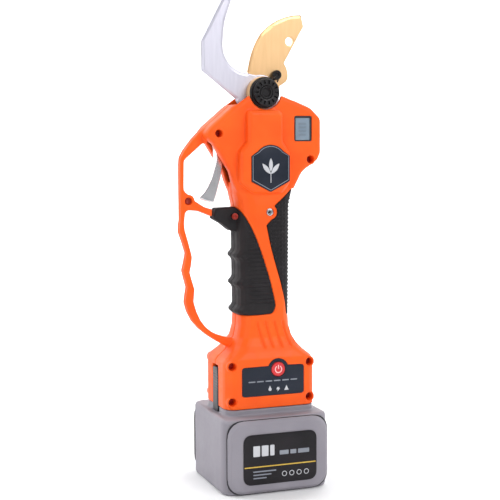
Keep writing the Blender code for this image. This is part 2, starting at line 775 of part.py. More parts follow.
def make_pivot_hardware(pivot):
    nut = rod("nut", PIVOT, 10.6, NUT_FACE, NUT_BACK - 0.5, sides=42)
    join(nut, rod("flange", PIVOT, 12.2, NUT_BACK - 2.2, NUT_BACK, sides=42))
    notches = []
    for number in range(14):
        notch = block("notch", (6.9, NUT_FACE - 1, -0.7), (9.5, NUT_FACE + 1.6, 0.7))
        notch.data.transform(Matrix.Rotation(2 * pi * number / 14, 4, "Y"))
        notch.data.transform(Matrix.Translation((PIVOT[0] * MM, 0, PIVOT[1] * MM)))
        notches.append(notch)
    cut(nut, rod("bore", PIVOT, BOLT_RADIUS + GAP, -30, 0), *notches)
    finish(nut, "lock_nut", DARK_STEEL, pivot)
    bolt = rod("bolt", PIVOT, BOLT_RADIUS, NUT_FACE + 0.4, GEAR_BACK + 2)
    join(bolt, rod("bolt_head", PIVOT, 8.4, GEAR_BACK + GAP, GEAR_BACK + 3.4))
    cut(
        bolt,
        rod("socket", PIVOT, 3.6, NUT_FACE - 5, NUT_FACE + 2.4, sides=24),
        rod("key", PIVOT, 3.2, GEAR_BACK + 1.4, GEAR_BACK + 9, sides=6),
    )
    finish(bolt, "pivot_bolt", DARK_STEEL, pivot)


def make_lock(pivot):
    """The forked tab that holds the nut, and the screw that holds the tab on the blade."""
    x, z = LOCK_SCREW
    base = CUTTER_FRONT - GAP
    tab = rod("tab", LOCK_SCREW, 3.0, base - 1.4, base, sides=24)
    inward = atan2(PIVOT[1] - z, PIVOT[0] - x)
    for lean in (-0.3, 0.3):
        foot = block("foot", (2.5, base - 1.3, -0.55), (4.9, base - 0.1, 0.55))
        post = block("post", (4.15, NUT_BACK - 1.3, -0.5), (4.8, base - 0.3, 0.5))
        finger = block("finger", (4.3, NUT_BACK - 1.4, -0.4), (6.9, NUT_BACK - 0.2, 0.4))
        for prong in (foot, post, finger):
            prong.data.transform(Matrix.Rotation(-inward - lean, 4, "Y"))
            prong.data.transform(Matrix.Translation((x * MM, 0, z * MM)))
        join(tab, foot, post, finger)
    cut(
        tab,
        rod("hole", LOCK_SCREW, 1.9, -30, 10, sides=16),
        rod("flange_room", PIVOT, 12.5, -30, 5, sides=42),
    )
    finish(tab, "lock_tab", DARK_STEEL, pivot)
    screw = rod("screw", LOCK_SCREW, 3.8, base - 5.0, base - 1.4 - GAP, sides=28)
    join(screw, rod("shank", LOCK_SCREW, 1.5, base - 2.5, CUTTER_BACK - GAP, sides=16))
    cut(screw, rod("socket", LOCK_SCREW, 1.7, base - 7, base - 3.4, sides=6))
    finish(screw, "lock_screw", DARK_STEEL, pivot)


# ---------------------------------------------------------------- motor and gears


def make_output_shaft():
    pivot = joint_empty("output_shaft_joint", (0, 0, 280))
    module = 2 * PINION_PITCH / PINION_TEETH
    teeth = gear_outline((0, 0), PINION_TEETH, module, 90)
    pinion = plate("pinion", [teeth], 284.4, 289.4, axis="Z")
    join(pinion, rod("shaft", (0, 0), 4.0, 265.8, 285.0, axis="Z"))
    finish(pinion, "drive_pinion", PLATED, pivot)
    carrier = rod("carrier", (0, 0), 10.5, 262.4, 265.5, axis="Z")
    for number in range(3):
        place = arc((0, 0), PLANET_ORBIT, 120 * number, 0, 1)[0]
        join(carrier, rod("pin", place, 1.4, 257.4, 263.0, axis="Z", sides=16))
    finish(carrier, "planet_carrier", PLATED, pivot)


def make_planets():
    for number in range(3):
        angle = 120 * number
        place = arc((0, 0), PLANET_ORBIT, angle, 0, 1)[0]
        pivot = joint_empty(f"planet_{number + 1}_joint", (*place, 260))
        teeth = gear_outline(place, PLANET_TEETH, PLANET_MODULE, angle + 180 / PLANET_TEETH)
        gear = plate("planet", [teeth, circle(place, 1.7, 16)], PLANET_LOW, PLANET_HIGH, axis="Z")
        finish(gear, f"planet_gear_{number + 1}", PLATED, pivot)


def make_ring_gear():
    teeth = gear_outline((0, 0), RING_TEETH, PLANET_MODULE, 0, internal=True)
    finish(plate("ring", [circle((0, 0), 15.5, 40), teeth], 256.0, 270.7, axis="Z"), "ring_gear", ALUMINIUM)


def make_motor():
    can = rod("can", (0, 0), 13.2, 226.0, 255.7, axis="Z", sides=36)
    bore = rod("bore", (0, 0), 9.0, 229.0, 252.5, axis="Z")
    cut(can, bore, rod("exit", (0, 0), 2.4, 250, 260, axis="Z", sides=20))
    finish(can, "motor_can", PLATED)
    pivot = joint_empty("motor_rotor_joint", (0, 0, 240))
    rotor = rod("rotor", (0, 0), 8.4, 232.0, 249.0, axis="Z", sides=28)
    join(
        rotor,
        rod("shaft", (0, 0), 1.8, 229.6, 258.0, axis="Z", sides=16),
        plate("sun", [gear_outline((0, 0), SUN_TEETH, PLANET_MODULE)], PLANET_LOW, PLANET_HIGH - 0.1, axis="Z"),
    )
    finish(rotor, "motor_rotor", DARK_STEEL, pivot)


def make_electrics():
    controller = block("controller", (-12, -1.5, 145), (12, 1.5, 205))
    join(
        controller,
        block("heat_sink", (-9, 1.0, 175), (9, 9.0, 200)),
        block("inductor", (-7, -8.0, 150), (5, -1.0, 162)),
    )
    finish(controller, "motor_controller", BOARD)
    terminal = block("terminal", (-16, -8, 90.3), (16, 8, 97))
    for x in (-11, 0, 11):
        join(terminal, block("contact", (x - 0.6, -4, 80), (x + 0.6, 4, 91)))
    finish(terminal, "terminal_block", BLACK)


# ---------------------------------------------------------------- trigger


def make_trigger():
    """A curved steel channel on a pin, with its torsion spring and the switch that it presses."""
    x, z = TRIGGER_PIVOT
    pivot = joint_empty("trigger_joint", (x, 0, z))
    face = smooth([(-38.6, 274.0), (-37.4, 264.0), (-37.8, 257.6), (-41.8, 245.4), (-46.8, 236.3), (-51.8, 230.8)])
    heel = [(-46.0, 228.4), (-40.0, 227.0)]
    web = smooth([(-38.2, 231.4), (-34.2, 245.8), (-32.4, 256.0), (-31.9, 264.0), (-30.4, 273.0)])
    trigger = plate("trigger", [face + heel + web], -TRIGGER_WIDTH, TRIGGER_WIDTH, bevel=0.4)
    join(trigger, rod("boss", TRIGGER_PIVOT, 4.9, 0.1 - TRIGGER_WIDTH, TRIGGER_WIDTH - 0.1, sides=24))
    pocket = [(px + 2.6, pz) for px, pz in face[3:]]
    pocket = [*pocket, (-46.0, 220.0), (-28.0, 220.0), (-28.0, pocket[0][1])]
    cut(trigger, plate("pocket", [pocket], 1.4 - TRIGGER_WIDTH, TRIGGER_WIDTH - 1.4))
    cut(trigger, rod("bore", TRIGGER_PIVOT, 2.3, -10, 10, sides=20))
    finish(trigger, "trigger", PLATED, pivot)
    finish(rod("pin", TRIGGER_PIVOT, 2.0, -12.0, 12.0, sides=20), "trigger_pin", DARK_STEEL)
    turns = [(3.3, 5.6 + 1.15 * k / 12, 30 * k) for k in range(37)]
    coil = [(x + r * cos(radians(a)), y, z + r * sin(radians(a))) for r, y, a in turns]
    legs = [(x + 9.0, 5.6, z + 1.0), (x + 9.0, coil[-1][1], z - 2.0)]
    finish(wire("spring", [legs[0], *coil, legs[1]], 0.45), "trigger_spring", PLATED)


def make_switch():
    height = 262.0
    body = block("switch", (-28.6, -4.0, 254.5), (-18.5, 4.0, 268.0))
    cut(body, rod("bore", (0, height), 2.0, -30, -24, axis="X", sides=16))
    finish(body, "trigger_switch", BLACK)
    pivot = joint_empty("switch_plunger_joint", (-28.6, 0, height))
    plunger = rod("plunger", (0, height), 1.6, -31.3, -26.2, axis="X", sides=16)
    finish(plunger, "switch_plunger", RED, pivot)


# ---------------------------------------------------------------- battery pack


def cover_outline():
    return rectangle(-42.0, 1.0, 42.0, 59.0, 13.0, 5)


def make_battery():
    pivot = joint_empty("battery_joint", (0, 0, SOCKET_FACE))
    wide, top, wall = BATTERY_WIDTH, BATTERY_HEIGHT, 2.5
    low, high = BATTERY_FRONT, BATTERY_REAR
    case = plate("case", [rectangle(-wide, low, wide, high, 9.0, 5)], 0, top, axis="Z", bevel=2.5, rounds=1)
    collar = rectangle(-37.6, -26.6, 37.6, 26.6, 8.8, 4)
    join(
        case,
        plate("collar", [collar], top - 2, SOCKET_FACE - GAP, axis="Z"),
        plate("tongue", [rectangle(-27.4, -19, 27.4, 19, 3)], top - 1, 88, axis="Z", bevel=1),
    )
    inner = rectangle(-wide + wall, low + wall, wide - wall, high - wall, 6.5, 5)
    cut(case, plate("inside", [inner], wall, top - wall, axis="Z"))
    window = rectangle(-36, 6, 36, 54, 8)
    cut(
        case,
        plate("front_window", [window], low - 5, low + 5),
        plate("rear_window", [window], high - 5, high + 5),
        block("contact_pocket", (-19, -9, 76), (19, 9, 95)),
    )
    for side in (-1, 1):
        near, far = sorted((side * 31.0, side * 45))
        cut(case, block("latch_notch", (near, -7.2, top - 0.5), (far, 7.2, 70)))
    finish(case, "battery_case", GREY, pivot)
    front = plate("front", [cover_outline()], low - GAP - COVER_THICKNESS, low - GAP)
    rear = plate("rear", [cover_outline()], high + GAP, high + GAP + COVER_THICKNESS)
    for cover, side, name in ((front, -1, "front"), (rear, 1, "rear")):
        face = (low if side < 0 else high) + side * (GAP + COVER_THICKNESS)
        slope = plate("slope", [cover_outline()], *sorted((face, face - side * 8)), bevel=2.6)
        finish(keep_inside(cover, slope), f"battery_{name}_cover", GREY, pivot)
    face = low - GAP - COVER_THICKNESS
    label = plate("label", [rectangle(-30.0, 8.6, 31.4, 48.4, 7.0, 4)], face - 0.8, face - 0.25)
    finish(label, "battery_label", BLACK, pivot)
    return pivot


def make_cells(pivot):
    """Five cells in two rows, and the board over them."""
    middle = (BATTERY_FRONT + BATTERY_REAR) / 2
    places = [(middle - 19, 12.6), (middle, 12.6), (middle + 19, 12.6), (middle - 9.5, 29.4), (middle + 9.5, 29.4)]
    for number, place in enumerate(places, 1):
        finish(rod("cell", place, 9.1, -32.5, 32.5, axis="X", sides=24), f"battery_cell_{number}", CELL, pivot)
    board = block("board", (-30, middle - 22, 45.0), (30, middle + 22, 46.6))
    join(board, block("parts", (-14, middle - 10, 46), (14, middle + 8, 50)))
    finish(board, "battery_board", BOARD, pivot)


def make_latches():
    for side, name in ((-1, "left"), (1, "right")):
        pivot = joint_empty(f"latch_{name}_joint", (side * 37, 0, 64))
        near, far = sorted((side * 35.4, side * 38.3))
        pad = rectangle(-5.9, BATTERY_HEIGHT - 0.1, 5.9, 95.5, 2.0)
        latch = plate("latch", [pad], near, far, axis="X", bevel=0.5)
        nose_near, nose_far = sorted((side * 34.0, side * 37.0))
        join(latch, block("foot", (nose_near, -4.5, BATTERY_HEIGHT), (nose_far, 4.5, BATTERY_HEIGHT + 4)))
        finish(latch, f"latch_{name}", BLACK, pivot)


def main():
    clear_scene()
    make_shells()
    make_grips()
    make_housing_screws()
    make_front_pieces()
    make_power_button()
    make_fixed_blade()
    make_gear_head()
    make_pivot_bush()
    blade_pivot = joint_empty("blade_joint", (PIVOT[0], 0, PIVOT[1]))
    make_moving_blade(blade_pivot)
    make_sector_gear(blade_pivot)
    make_pivot_hardware(blade_pivot)
    make_lock(blade_pivot)
    make_output_shaft()
    make_planets()
    make_ring_gear()
    make_motor()
    make_electrics()
    make_trigger()
    make_switch()
    battery_pivot = make_battery()
    make_cells(battery_pivot)
    make_latches()


main()
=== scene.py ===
import json
from math import cos, pi, radians, sin, tau

import bmesh
import bpy
import numpy as np
from mathutils import Euler, Matrix, Vector


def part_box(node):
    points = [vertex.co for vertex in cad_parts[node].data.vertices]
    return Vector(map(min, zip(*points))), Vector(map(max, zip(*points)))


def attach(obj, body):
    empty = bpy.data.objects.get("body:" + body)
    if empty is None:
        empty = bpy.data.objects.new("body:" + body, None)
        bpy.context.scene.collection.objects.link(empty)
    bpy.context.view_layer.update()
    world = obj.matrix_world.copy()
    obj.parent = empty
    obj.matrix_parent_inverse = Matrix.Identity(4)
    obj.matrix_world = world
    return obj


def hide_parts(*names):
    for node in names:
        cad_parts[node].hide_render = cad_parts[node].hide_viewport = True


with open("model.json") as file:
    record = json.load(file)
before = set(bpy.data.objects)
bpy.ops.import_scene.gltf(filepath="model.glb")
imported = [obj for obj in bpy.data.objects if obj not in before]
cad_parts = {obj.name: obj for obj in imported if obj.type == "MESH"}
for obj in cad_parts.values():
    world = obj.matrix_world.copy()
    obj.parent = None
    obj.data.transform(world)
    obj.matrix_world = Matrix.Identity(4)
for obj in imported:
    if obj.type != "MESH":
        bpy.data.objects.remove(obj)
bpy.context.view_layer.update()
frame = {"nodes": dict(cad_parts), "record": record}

# Sizes are in millimetres unless a comment says otherwise.
MM = 0.001
SIDES = ("front", "rear")
SAME_POINT = 1e-6  # metres
MOST_TRIANGLES = 190000
FILLET_STEPS = 6

# Places on the tool: x, z in millimetres.
PIVOT = (0.0, 313.0)
LOCK_SCREW = (13.6, 327.3)
BUTTON = (5.5, 95.4)
BADGE = (1.5, 258.5)

# Thin marks: y of the front, y of the back and radius of the rim, in millimetres.
DISPLAY_MARK = (-14.3, -14.15, 0.03)
BADGE_MARK = (-22.1, -21.95, 0.04)
PANEL_MARK = (-26.9, -26.75, 0.03)
BUTTON_MARK = (-27.6, -27.3, 0.08)
LABEL_MARK = (-43.68, -43.55, 0.02)

BRIGHT_SCREW = 5  # the number of the only bright one
# Housing screws: x, z, depth of the face they are in, how far they are sunk, head radius.
SCREWS = [
    (-38.6, 281.2, 15.0, 6.5, 2.5),
    (38.3, 260.4, 15.0, 6.5, 2.5),
    (-60.5, 228.6, 4.5, 1.4, 2.4),
    (-24.6, 216.3, 18.5, 6.5, 2.5),
    (2.3, 219.3, 18.5, 0.6, 3.0),
    (-32.5, 99.4, 27.0, 7.0, 2.8),
    (32.5, 99.4, 27.0, 7.0, 2.8),
    (-32.5, 71.2, 27.0, 7.0, 2.8),
    (32.5, 71.2, 27.0, 7.0, 2.8),
]


# ---------------------------------------------------------------- materials

GRAIN_SCALE = 900.0
GRAIN_HEIGHT = 0.0002  # metres
COLOUR_ENDS = (0.32, 0.68)  # noise values that give a material's two colours
GLOSS_ENDS = (0.3, 0.7)  # noise values that give its two roughnesses


def surface(
    name, stops, rough, metallic=0.0, scale=40.0, stretch=(1, 1, 1), bump=0.1, coat=0.0, shine=0.5
):
    """A material whose colour, roughness and relief come from noise at three scales."""
    made = bpy.data.materials.new(name)
    made.use_nodes = True
    nodes, links = made.node_tree.nodes, made.node_tree.links
    shader = nodes["Principled BSDF"]
    shader.inputs["Metallic"].default_value = metallic
    shader.inputs["Coat Weight"].default_value = coat
    shader.inputs["Specular IOR Level"].default_value = shine
    place = nodes.new("ShaderNodeTexCoord")
    mapping = nodes.new("ShaderNodeMapping")
    mapping.inputs["Scale"].default_value = stretch
    links.new(place.outputs["Object"], mapping.inputs["Vector"])

    def noise(size, detail):
        texture = nodes.new("ShaderNodeTexNoise")
        texture.inputs["Scale"].default_value = size
        texture.inputs["Detail"].default_value = detail
        links.new(mapping.outputs["Vector"], texture.inputs["Vector"])
        return texture.outputs["Fac"]

    broad = noise(scale, 5.0)
    grain = noise(GRAIN_SCALE, 2.0)
    ramp = nodes.new("ShaderNodeValToRGB")
    for element, position, colour in zip(ramp.color_ramp.elements, COLOUR_ENDS, stops):
        element.position = position
        element.color = (*colour, 1)
    links.new(broad, ramp.inputs["Fac"])
    links.new(ramp.outputs["Color"], shader.inputs["Base Color"])
    gloss = nodes.new("ShaderNodeMapRange")
    for end, seen, wanted in zip(("Min", "Max"), GLOSS_ENDS, rough):
        gloss.inputs[f"From {end}"].default_value = seen
        gloss.inputs[f"To {end}"].default_value = wanted
    links.new(noise(scale * 4, 4.0), gloss.inputs["Value"])
    links.new(gloss.outputs["Result"], shader.inputs["Roughness"])
    relief = nodes.new("ShaderNodeBump")
    relief.inputs["Strength"].default_value = bump
    relief.inputs["Distance"].default_value = GRAIN_HEIGHT
    links.new(grain, relief.inputs["Height"])
    links.new(relief.outputs["Normal"], shader.inputs["Normal"])
    return made


MATERIALS = {
    "orange_plastic": surface(
        "orange_plastic", [(0.94, 0.098, 0.006), (1.0, 0.125, 0.009)], (0.4, 0.52), bump=0.12, shine=0.25
    ),
    "black_rubber": surface(
        "black_rubber",
        [(0.012, 0.0105, 0.012), (0.019, 0.0165, 0.018)],
        (0.55, 0.75), bump=0.35, shine=0.25,
    ),
    "grey_plastic": surface(
        "grey_plastic", [(0.255, 0.24, 0.275), (0.29, 0.275, 0.31)], (0.45, 0.6), bump=0.2, shine=0.3
    ),
    "black_plastic": surface(
        "black_plastic", [(0.014, 0.014, 0.018), (0.022, 0.022, 0.027)], (0.34, 0.48), bump=0.15
    ),
    "panel_film": surface(
        "panel_film", [(0.012, 0.016, 0.027), (0.018, 0.023, 0.037)], (0.28, 0.4), bump=0.05, shine=0.25
    ),
    "display_lens": surface(
        "display_lens", [(0.2, 0.265, 0.335), (0.25, 0.32, 0.385)], (0.14, 0.24), bump=0.02, coat=0.5
    ),
    "circuit_board": surface(
        "circuit_board", [(0.012, 0.12, 0.05), (0.02, 0.19, 0.08)], (0.35, 0.55), scale=120.0
    ),
    "black_steel": surface(
        "black_steel", [(0.011, 0.01, 0.011), (0.02, 0.018, 0.02)], (0.3, 0.46), 0.3, bump=0.12, shine=0.4
    ),
    "bright_steel": surface(
        "bright_steel", [(0.6, 0.6, 0.62), (0.76, 0.76, 0.79)], (0.16, 0.3), 1.0, bump=0.06
    ),
    "blade_steel": surface(
        "blade_steel",
        [(0.63, 0.62, 0.71), (0.68, 0.67, 0.76)],
        (0.36, 0.48), 0.55, stretch=(9, 9, 1), scale=50.0,
    ),
    "gold_steel": surface(
        "gold_steel",
        [(0.83, 0.53, 0.26), (0.88, 0.57, 0.29)],
        (0.34, 0.46), 0.6, stretch=(8, 8, 1), scale=50.0,
    ),
    "cast_aluminium": surface(
        "cast_aluminium", [(0.5, 0.5, 0.52), (0.66, 0.66, 0.68)], (0.45, 0.65), 1.0, bump=0.5
    ),
    "bronze": surface("bronze", [(0.5, 0.3, 0.11), (0.64, 0.42, 0.19)], (0.4, 0.6), 1.0, bump=0.4),
    "red_plastic": surface(
        "red_plastic", [(0.6, 0.02, 0.025), (0.74, 0.035, 0.04)], (0.3, 0.42), bump=0.05
    ),
    "cell_wrap": surface("cell_wrap", [(0.03, 0.17, 0.4), (0.05, 0.23, 0.5)], (0.25, 0.4), bump=0.05),
}
# Dark red painted on the sunk housing screws, which are black steel: painted shade of their deep holes,
# tinted by light bounced off the orange walls.
SCREW_PAINTED_SHADE = surface("painted_screw_shade", [(0.3, 0.02, 0.01), (0.4, 0.032, 0.018)], (0.35, 0.5), 0.3, bump=0.1)
POLISHED = surface("polished_steel", [(0.74, 0.74, 0.76), (0.8, 0.8, 0.82)], (0.2, 0.28), 0.95, bump=0.02)
PALE_PRINT = surface("pale_print", [(0.5, 0.51, 0.54), (0.6, 0.61, 0.64)], (0.4, 0.55), bump=0.05)
DIM_PRINT = surface("dim_print", [(0.2, 0.22, 0.26), (0.27, 0.29, 0.33)], (0.4, 0.55), bump=0.05)
YELLOW_PRINT = surface("yellow_print", [(0.6, 0.38, 0.04), (0.72, 0.48, 0.07)], (0.4, 0.55), bump=0.05)
ROSE_PRINT = surface("rose_print", [(0.95, 0.5, 0.5), (1.0, 0.62, 0.6)], (0.35, 0.5), bump=0.05)
LABEL = surface(
    "label_film", [(0.011, 0.01, 0.012), (0.017, 0.015, 0.018)], (0.3, 0.42), bump=0.05, shine=0.2
)

# ---------------------------------------------------------------- building pieces


def add(mesh, name, body, slot, node=None, material=None, crease=20.0):
    """Puts a finished mesh in the scene as a piece that rides on a body."""
    obj = bpy.data.objects.new(name, mesh)
    bpy.context.scene.collection.objects.link(obj)
    mesh.materials.clear()
    mesh.materials.append(material or MATERIALS[slot])
    mesh.shade_smooth()
    if crease:
        mesh.set_sharp_from_angle(angle=radians(crease))
    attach(obj, body)
    if node:
        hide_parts(node)
    return obj


def evaluated(obj):
    """The mesh that an object gives with its modifiers. The object itself is removed."""
    graph = bpy.context.evaluated_depsgraph_get()
    mesh = bpy.data.meshes.new_from_object(obj.evaluated_get(graph))
    bpy.data.objects.remove(obj)
    return mesh


def helper(mesh):
    """An object that only carries modifiers for a mesh."""
    obj = bpy.data.objects.new("helper", mesh)
    bpy.context.scene.collection.objects.link(obj)
    return obj


def refined(node, cell, rounds, relief=None):
    """A CAD node's solid as one fine mesh, with rounded edges and the relief pressed into its surface.

    cell is the size of the mesh's cells in millimetres, and rounds is how often it is smoothed.
    """
    source = frame["nodes"][node]
    mesh = source.data.copy()
    mesh.transform(source.matrix_world)
    obj = helper(mesh)
    join = obj.modifiers.new("join", "WELD")
    join.merge_threshold = SAME_POINT
    remesh = obj.modifiers.new("remesh", "REMESH")
    remesh.mode = "VOXEL"
    remesh.voxel_size = cell * MM
    relax = obj.modifiers.new("relax", "SMOOTH")
    relax.factor = 0.5
    relax.iterations = rounds
    made = evaluated(obj)
    bpy.data.meshes.remove(mesh)
    if relief:
        emboss(made, relief)
    triangles = 2 * len(made.polygons)
    if triangles > MOST_TRIANGLES:
        obj = helper(made)
        fewer = obj.modifiers.new("fewer", "DECIMATE")
        fewer.ratio = MOST_TRIANGLES / triangles
        made = evaluated(obj)
    return made


def arrays(mesh):
    """The places, in millimetres, and the outward normals of a mesh's points."""
    points = np.empty(len(mesh.vertices) * 3, np.float32)
    normals = np.empty(len(mesh.vertices) * 3, np.float32)
    mesh.vertices.foreach_get("co", points)
    mesh.vertices.foreach_get("normal", normals)
    return points.reshape(-1, 3) / MM, normals.reshape(-1, 3)


def put_points(mesh, points):
    """Puts a mesh's points at the given places, in millimetres."""
    mesh.vertices.foreach_set("co", (points * MM).astype(np.float32).reshape(-1))
    mesh.update()


def emboss(mesh, height):
    """Moves each point along its normal by height(points, normals), in millimetres."""
    points, normals = arrays(mesh)
    put_points(mesh, points + normals * height(points, normals)[:, None])


def step(value, low, high):
    """0 up to low, 1 from high on, and a smooth rise between them."""
    share = np.clip((value - low) / (high - low), 0, 1)
    return share * share * (3 - 2 * share)


def distance_to(points, line):
    """How far each x, z pair is from an open line of corners."""
    best = np.full(len(points), 1e9)
    for (ax, az), (bx, bz) in zip(line, line[1:]):
        along = np.array([bx - ax, bz - az])
        offset = points - (ax, az)
        share = np.clip(offset @ along / (along @ along), 0, 1)
        best = np.minimum(best, np.hypot(*(offset - share[:, None] * along).T))
    return best


def arc(centre, radius, start, end, count):
    """Points along an arc between two angles in degrees."""
    angles = [radians(start + (end - start) * k / count) for k in range(count + 1)]
    return [(centre[0] + radius * cos(a), centre[1] + radius * sin(a)) for a in angles]


def rectangle(left, bottom, right, top, radius):
    """A closed outline of a rectangle with every corner replaced by a fillet."""
    outline = [(left, bottom), (right, bottom), (right, top), (left, top)]
    result = []
    for index, corner in enumerate(outline):
        here = Vector(corner)
        back = (Vector(outline[index - 1]) - here).normalized()
        ahead = (Vector(outline[(index + 1) % len(outline)]) - here).normalized()
        for k in range(FILLET_STEPS + 1):
            share = k / FILLET_STEPS
            result.append(tuple(here + back * radius * (1 - share) ** 2 + ahead * radius * share**2))
    return result


def slab(outlines, front, back, edge=0.2):
    """A flat plate facing -Y with softly rounded rims; outlines after the first are holes."""
    curve = bpy.data.curves.new("slab", "CURVE")
    curve.dimensions = "2D"
    curve.fill_mode = "BOTH"
    curve.extrude = ((back - front) / 2 - edge) * MM
    curve.bevel_depth = edge * MM
    curve.bevel_resolution = 3
    curve.offset = -edge * MM
    for outline in outlines:
        spline = curve.splines.new("POLY")
        spline.points.add(len(outline) - 1)
        spline.use_cyclic_u = True
        for point, (x, z) in zip(spline.points, outline):
            point.co = (x * MM, z * MM, 0, 1)
    obj = bpy.data.objects.new("slab", curve)
    bpy.context.scene.collection.objects.link(obj)
    mesh = evaluated(obj)
    bpy.data.curves.remove(curve)
    turn = Matrix.Translation((0, (front + back) / 2 * MM, 0)) @ Matrix.Rotation(pi / 2, 4, "X")
    mesh.transform(turn)
    return welded(mesh)


def welded(mesh):
    """The mesh with points that share a place joined into one."""
    obj = helper(mesh)
    join = obj.modifiers.new("join", "WELD")
    join.merge_threshold = 2 * SAME_POINT
    made = evaluated(obj)
    bpy.data.meshes.remove(mesh)
    return made


def disc(profile, centre, around=96, relief=None):
    """A round piece turned about an axis along Y. Profile is radius, y; relief moves points along Y."""
    radii, depths = np.array(profile, float).T
    angles = np.arange(around) * tau / around
    x = radii[:, None] * np.cos(angles)
    z = radii[:, None] * np.sin(angles)
    y = np.repeat(depths[:, None], around, axis=1)
    if relief:
        y = y + relief(x, z, y)
    points = np.stack([x + centre[0], y, z + centre[1]], axis=-1).reshape(-1, 3) * MM
    faces = []
    for row in range(len(profile) - 1):
        here = row * around
        after = here + around
        for k in range(around):
            ahead = (k + 1) % around
            faces.append((here + k, after + k, after + ahead, here + ahead))
    mesh = bpy.data.meshes.new("disc")
    mesh.from_pydata(points.tolist(), [], faces)
    return welded(mesh)


def spread(*stops, gap=0.25):
    """A profile through the given radius, y stops with extra points between them."""
    result = []
    for (r0, y0), (r1, y1) in zip(stops, stops[1:]):
        count = max(1, int(max(abs(r1 - r0), abs(y1 - y0)) / gap))
        result += [(r0 + (r1 - r0) * k / count, y0 + (y1 - y0) * k / count) for k in range(count)]
    return [*result, stops[-1]]


# ---------------------------------------------------------------- housing

GROOVE_STARTS = (-9.5, -2.5, 5.0, 12.5, 20.5, 28.0)
GROOVE_DEPTH = 1.3
GROOVE_LEAN = 0.26
FLARE_TOP = 134.0
FINGER_BORDER = [(-17.0, 232.0), (-9.5, 222.0), (-2.0, 200.0), (5.0, 170.0), (9.0, 145.0)]
FINGER_RIB_PITCH = 3.3
PIMPLE_PITCH = 3.1
LIP_WIDTH = 0.7
LIP_HALF_DEPTH = 0.12


def flare_grooves(points, normals):
    """Slanted grooves pressed into the flare above the base, front and rear."""
    x, y, z = points.T
    around = x + np.where(x > 15, np.clip(18.0 - np.abs(y), 0, 18), 0)
    outward = step(np.abs(normals[:, 1]) + np.clip(normals[:, 0], 0, 1), 0.5, 0.8)
    outward *= step(np.abs(y), 15.5, 17.0) + (x > 19)
    depth = np.zeros(len(x))
    for start in GROOVE_STARTS:
        middle = start + (FLARE_TOP - z) * GROOVE_LEAN
        across = 1 - step(np.abs(around - middle), 0.5, 1.4)
        depth = np.maximum(depth, across * step(z, 111, 115) * (1 - step(z, 131, FLARE_TOP)))
    return -GROOVE_DEPTH * depth * np.clip(outward, 0, 1)


def build_shells():
    for side in SIDES:
        mesh = refined(f"{side}_shell", 0.6, 5, flare_grooves)
        add(mesh, f"{side}_shell_skin", "housing", "orange_plastic", f"{side}_shell", crease=None)


def finger_relief(points, normals):
    """Level ribs between the fingers, inside a plain border, and a line beside the border."""
    x, y, z = points.T
    edge_x, edge_z = np.array(FINGER_BORDER[::-1]).T
    inset = np.interp(z, edge_z, edge_x) - 1.5
    facing = step(np.abs(normals[:, 1]), 0.3, 0.7) * step(np.abs(y), 16.0, 17.5)
    inside = step(inset - x, 0.5, 1.5) * step(z, 145, 147) * (1 - step(z, 204, 207)) * step(x, -17.5, -16)
    rib = 0.5 + 0.5 * np.cos(tau * z / FINGER_RIB_PITCH)
    line = 1 - step(np.abs(x - inset - 0.6), 0.2, 0.8)
    line *= step(z, 145, 148) * (1 - step(z, 218, 222))
    return facing * (0.9 * inside * (step(rib, 0.1, 0.9) - 0.6) - 0.4 * line)


def palm_relief(points, normals):
    """Square pimples in rows all over the palm side."""
    x, y, z = points.T
    around = np.where(np.abs(normals[:, 0]) > np.abs(normals[:, 1]), y, x)
    rows = np.cos(tau * z / PIMPLE_PITCH)
    columns = np.cos(tau * around / PIMPLE_PITCH)
    pimple = step(np.minimum(rows, columns), -0.35, 0.35)
    outward = step(np.maximum(normals[:, 0], np.abs(normals[:, 1])), 0.5, 0.75)
    outer = np.clip((x > 19.5) + step(np.abs(y), 16.0, 17.2), 0, 1)
    return (0.75 * pimple - 0.35) * outward * outer * step(z, 141, 143) * (1 - step(z, 229, 232))


def build_grips():
    for side in SIDES:
        mesh = refined(f"finger_grip_{side}", 0.4, 4, finger_relief)
        add(mesh, f"finger_grip_{side}_skin", "housing", "black_rubber", f"finger_grip_{side}", crease=None)
        mesh = refined(f"palm_grip_{side}", 0.36, 4, palm_relief)
        add(mesh, f"palm_grip_{side}_skin", "housing", "black_rubber", f"palm_grip_{side}", crease=None)


def build_seam_lip(node, slot):
    """The lip inside the parting line, so that no light shows between the two halves."""
    source = frame["nodes"][node]
    bm = bmesh.new()
    bm.from_mesh(source.data)
    bmesh.ops.remove_doubles(bm, verts=bm.verts, dist=SAME_POINT)
    bm.normal_update()
    apart = [f for f in bm.faces if f.normal.y < 0.99 or f.calc_center_median().y < -0.3 * MM]
    bmesh.ops.delete(bm, geom=apart, context="FACES")
    width = LIP_WIDTH * MM
    rim = bmesh.ops.inset_region(
        bm, faces=bm.faces, thickness=width, use_boundary=True, use_even_offset=False
    )
    bmesh.ops.delete(bm, geom=rim["faces"], context="FACES")
    low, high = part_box(node)
    for corner in bm.verts:
        x, _, z = corner.co
        x = min(max(x, low[0]), high[0])
        z = min(max(z, low[2]), high[2])
        corner.co = (x, -LIP_HALF_DEPTH * MM, z)
    raised = bmesh.ops.extrude_face_region(bm, geom=bm.faces[:], use_keep_orig=True)
    tops = [item for item in raised["geom"] if isinstance(item, bmesh.types.BMVert)]
    bmesh.ops.translate(bm, verts=tops, vec=(0, 2 * LIP_HALF_DEPTH * MM, 0))
    bmesh.ops.recalc_face_normals(bm, faces=bm.faces)
    mesh = bpy.data.meshes.new("lip")
    bm.to_mesh(mesh)
    bm.free()
    add(mesh, f"{node}_lip", "housing", slot)


